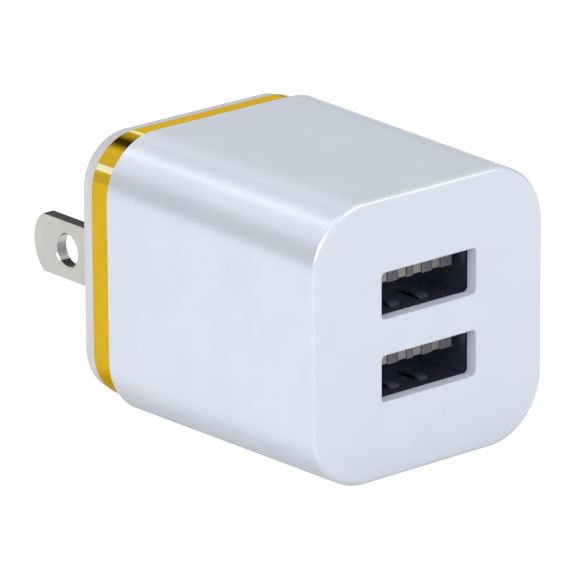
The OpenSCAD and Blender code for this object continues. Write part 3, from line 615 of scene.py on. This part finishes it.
def makeBlade(node, name):
    low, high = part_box(node)
    half, thick, spot = (high.z - low.z) / 2, high.x - low.x, (high.x + low.x) / 2
    knee = high.y - blade["bulge"]
    sweep = (half ** 2 + blade["bulge"] ** 2) / (2 * blade["bulge"])
    across = Matrix.Rotation(math.pi / 2, 4, "Y")
    bm = bmesh.new()
    # the tip's arc, cut off at the blade's two edges and where it bends
    bmesh.ops.create_circle(bm, cap_ends=True, segments=blade["tipSteps"], radius=sweep,
                            matrix=Matrix.Translation((spot + thick / 2, high.y - sweep, 0)) @ across)
    for point, away in (((0, 0, half), (0, 0, 1)), ((0, 0, -half), (0, 0, -1)), ((0, knee, 0), (0, -1, 0))):
        bmesh.ops.bisect_plane(bm, geom=bm.verts[:] + bm.edges[:] + bm.faces[:], plane_co=point, plane_no=away,
                               clear_outer=True, dist=blade["cutGap"])
    chord = [e for e in bm.edges if all(abs(v.co.y - knee) < blade["hair"] for v in e.verts)]
    body = bmesh.ops.extrude_edge_only(bm, edges=chord)
    moved = [v for v in body["geom"] if isinstance(v, bmesh.types.BMVert)]
    bmesh.ops.translate(bm, vec=(0, -blade["plate"] - knee, 0), verts=moved)
    slab = next(f for f in bm.faces if any(v in moved for v in f.verts))
    rim = list(slab.edges)
    bmesh.ops.delete(bm, geom=[slab], context="FACES_ONLY")
    mouth = blade["hole"] + blade["holeEase"]
    centre = Matrix.Translation((spot + thick / 2, blade["holeAlong"], 0)) @ across
    collar, lip = (ringOfEdges(bm, radius, centre) for radius in (mouth + blade["collar"], mouth))
    bridge(bm, collar, lip)
    fill(bm, rim, collar, normal=(1, 0, 0))
    # the coined tip slopes in from both faces
    slope = (thick - blade["tip"]) / 2 / blade["bulge"]
    for v in bm.verts:
        v.co.x -= max(0.0, v.co.y - knee) * slope
    twin = bmesh.ops.duplicate(bm, geom=bm.verts[:] + bm.edges[:] + bm.faces[:])
    for v in twin["geom"]:
        if isinstance(v, bmesh.types.BMVert):
            v.co.x = 2 * spot - v.co.x
    bmesh.ops.reverse_faces(bm, faces=[f for f in twin["geom"] if isinstance(f, bmesh.types.BMFace)])
    openEdges = [e for e in bm.edges if e.is_boundary]
    lips = [[e for e in openEdges if nearHole(e) and side * (e.verts[0].co.x - spot) > 0] for side in (1, -1)]
    skirts = [e for e in openEdges if not nearHole(e)]
    bores = [ringOfEdges(bm, blade["hole"], Matrix.Translation((-depth, 0, 0)) @ centre)
             for depth in (blade["holeEase"], thick - blade["holeEase"])]
    bridge(bm, lips[0], *bores, lips[1])
    bmesh.ops.bridge_loops(bm, edges=skirts)
    bmesh.ops.recalc_face_normals(bm, faces=bm.faces)
    bent = [e for e in bm.edges if len(e.link_faces) == 2 and e.calc_face_angle() > blade["edgeBend"]]
    soften(bm, [e for e in bent if not nearHole(e)], blade["edge"], blade["edgeSteps"])
    # the blades' top and bottom edges get the darker metal: painted shade, standing in for the dark reflection
    # along them
    for f in bm.faces:
        f.material_index = 1 if abs(f.normal.z) > blade["facing"] and f.calc_center_median().y < knee else 0
    return finishPiece(name, bm, ["nickelPlate", "paintedEdgeShade"], "charger", [node], blade["sharp"])


makeBlade("blade_left", "bladeLeft")
makeBlade("blade_right", "bladeRight")

# the parts that keep their machined shape: finish and nodes

coats = {
    "shellSteel": ["upper_shell", "lower_shell"],
    "insulatorPlastic": ["upper_insulator", "lower_insulator"],
    "shadedContactGold": ["upper_contacts", "lower_contacts", "upper_tails", "lower_tails"],
    "boardLaminate": ["usb_board", "main_board"],
    "solderMetal": ["usb_board_solder", "main_board_solder", "board_joint_solder", "blade_solder"],
    "chipPlastic": ["charge_control_chip", "bridge_rectifier", "controller_chip", "output_diode", "chip_resistors"],
    "chipCeramic": ["chip_capacitors"],
    "wireInsulation": ["wire_jacket_left", "wire_jacket_right"],
    "copperStrand": ["wire_cores"],
    "resistorCoating": ["fusible_resistor"],
    "canAluminium": ["input_capacitor_front", "input_capacitor_rear", "output_capacitor_left",
                     "output_capacitor_right"],
    "sleeveFilm": ["input_sleeve_front", "input_sleeve_rear", "output_sleeve_left", "output_sleeve_right"],
    "bungRubber": ["capacitor_bungs"],
    "tinnedWire": ["capacitor_leads", "safety_capacitor_leads", "bobbin_pins"],
    "discCoating": ["safety_capacitor"],
    "ferriteCore": ["core_upper", "core_lower"],
    "bobbinPlastic": ["bobbin"],
    "enamelledCopper": ["winding"],
    "polyesterTape": ["core_tape"],
}
for coat, nodes in coats.items():
    for node in nodes:
        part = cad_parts[node]
        if not part.material_slots:
            part.data.materials.append(material[coat])
        for held in part.material_slots:
            held.material = material[coat]
print("machined parts coated:", sum(len(nodes) for nodes in coats.values()))

lampTargets = {"housing": housingShell, "ring": goldRing}
for group, target in lampTargets.items():
    lampGroup[group].objects.link(target)
